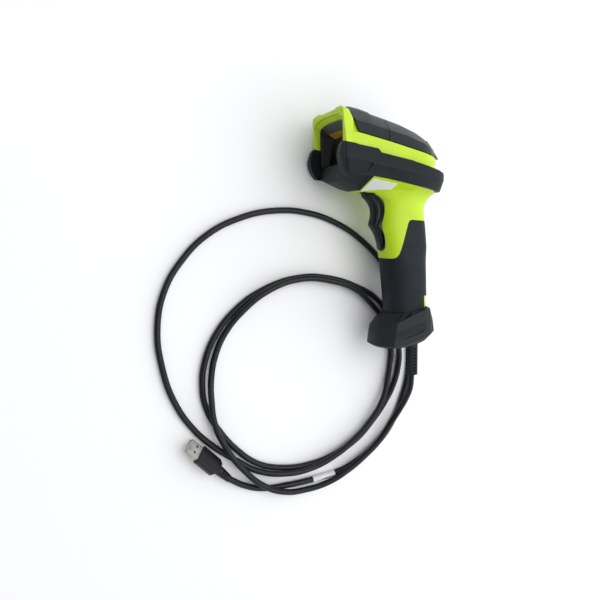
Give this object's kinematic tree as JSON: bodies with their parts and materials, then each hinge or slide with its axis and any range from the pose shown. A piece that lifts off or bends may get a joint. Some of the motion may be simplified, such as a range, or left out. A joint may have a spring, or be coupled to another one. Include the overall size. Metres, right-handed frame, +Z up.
{
  "type": "handheld barcode scanner",
  "caption": "Pistol-grip corded barcode scanner lying on its side with a sprung trigger, rubber bumpers, recessed scan window and a coiled USB data cord.",
  "frame": {"origin": "on the table, under the middle of the scanner without its cord", "axes": "+Z up from the table; the scanner lies on its left side with its nose towards -X, the top of its head towards +Y and its handle towards -Y"},
  "size_m": [0.2399, 0.3273, 0.075],
  "materials": {
    "lime_shell": "satin moulded, bright lime",
    "bumper_rubber": "matte black elastomer",
    "grip_rubber": "soft charcoal elastomer",
    "cover_plastic": "fine-textured charcoal",
    "black_plastic": "moulded black",
    "frame_plastic": "moulded grey",
    "grey_lens": "translucent grey",
    "window_glass": "polished, coated",
    "amber_lens": "polished translucent amber",
    "gasket_rubber": "matte",
    "barrel_metal": "black anodised",
    "led_plastic": "moulded lamp",
    "board_green": "coated board",
    "chip_plastic": "moulded",
    "steel": "plain bright metal",
    "plunger_red": "moulded",
    "ribbon": "flexible film",
    "clear_plastic": "clear moulded",
    "cable_rubber": "satin black jacket",
    "white_label": "plain white",
    "white_plastic": "moulded white",
    "contact_brass": "plated"
  },
  "bodies": {
    "scanner": {"upper_housing": "lime_shell", "lower_housing_left": "lime_shell", "lower_housing_right": "lime_shell", "head_bumper": "bumper_rubber", "front_cover": "cover_plastic", "rear_cover": "cover_plastic", "status_lens": "grey_lens", "rear_lens": "grey_lens", "window_bezel": "black_plastic", "window_gasket": "gasket_rubber", "scan_window": "window_glass", "amber_lens": "amber_lens", "engine_chassis": "frame_plastic", "imager_barrel": "barrel_metal", "imager_lens": "window_glass", "aimer_lens": "window_glass", "illumination_leds": "led_plastic", "sensor_board": "board_green", "main_board": "board_green", "board_chips": "chip_plastic", "beeper": "chip_plastic", "vibration_motor": "steel", "engine_screws": "steel", "board_screws": "steel", "housing_screws": "steel", "trigger_pin": "steel", "trigger_spring": "steel", "trigger_cradle": "frame_plastic", "trigger_surround": "black_plastic", "switch_body": "black_plastic", "switch_board": "board_green", "flat_cable": "ribbon", "grip_sleeve": "grip_rubber", "foot_boot": "bumper_rubber", "foot_plate": "black_plastic", "foot_screw": "steel", "cord_socket": "black_plastic", "cord_plug": "clear_plastic", "strain_relief": "bumper_rubber", "cord_first_loop": "cable_rubber", "cord_under_foot_upper": "cable_rubber", "cord_second_loop": "cable_rubber", "cord_under_foot_lower": "cable_rubber", "cord_outer_loop": "cable_rubber", "cord_under_foot_rear": "cable_rubber", "cord_plug_end": "cable_rubber", "cord_tag": "white_label", "plug_relief": "black_plastic", "usb_overmould": "black_plastic", "usb_shell": "steel", "usb_tongue": "white_plastic", "usb_contacts": "contact_brass", "rating_plate": "white_label"},
    "trigger": {"trigger": "black_plastic"},
    "plunger": {"switch_plunger": "plunger_red"}
  },
  "joints": [
    {"name": "trigger_pull", "type": "hinge", "parent": "scanner", "child": "trigger", "pos_m": [-0.01685, 0.04901, 0.037], "axis": [0, -0.0384, 0.9993], "range_deg": [0, 5.5], "stiffness_Nm_per_rad": 0.6, "springref_deg": -20.05, "deforming": ["trigger_spring"]},
    {"name": "switch_press", "type": "slide", "parent": "scanner", "child": "plunger", "axis": [1, 0, 0], "range_m": [0, 0.00115]}
  ],
  "couplings": [
    {"joint": "switch_press", "follows": "trigger_pull", "m_per_rad": 0.0115}
  ]
}
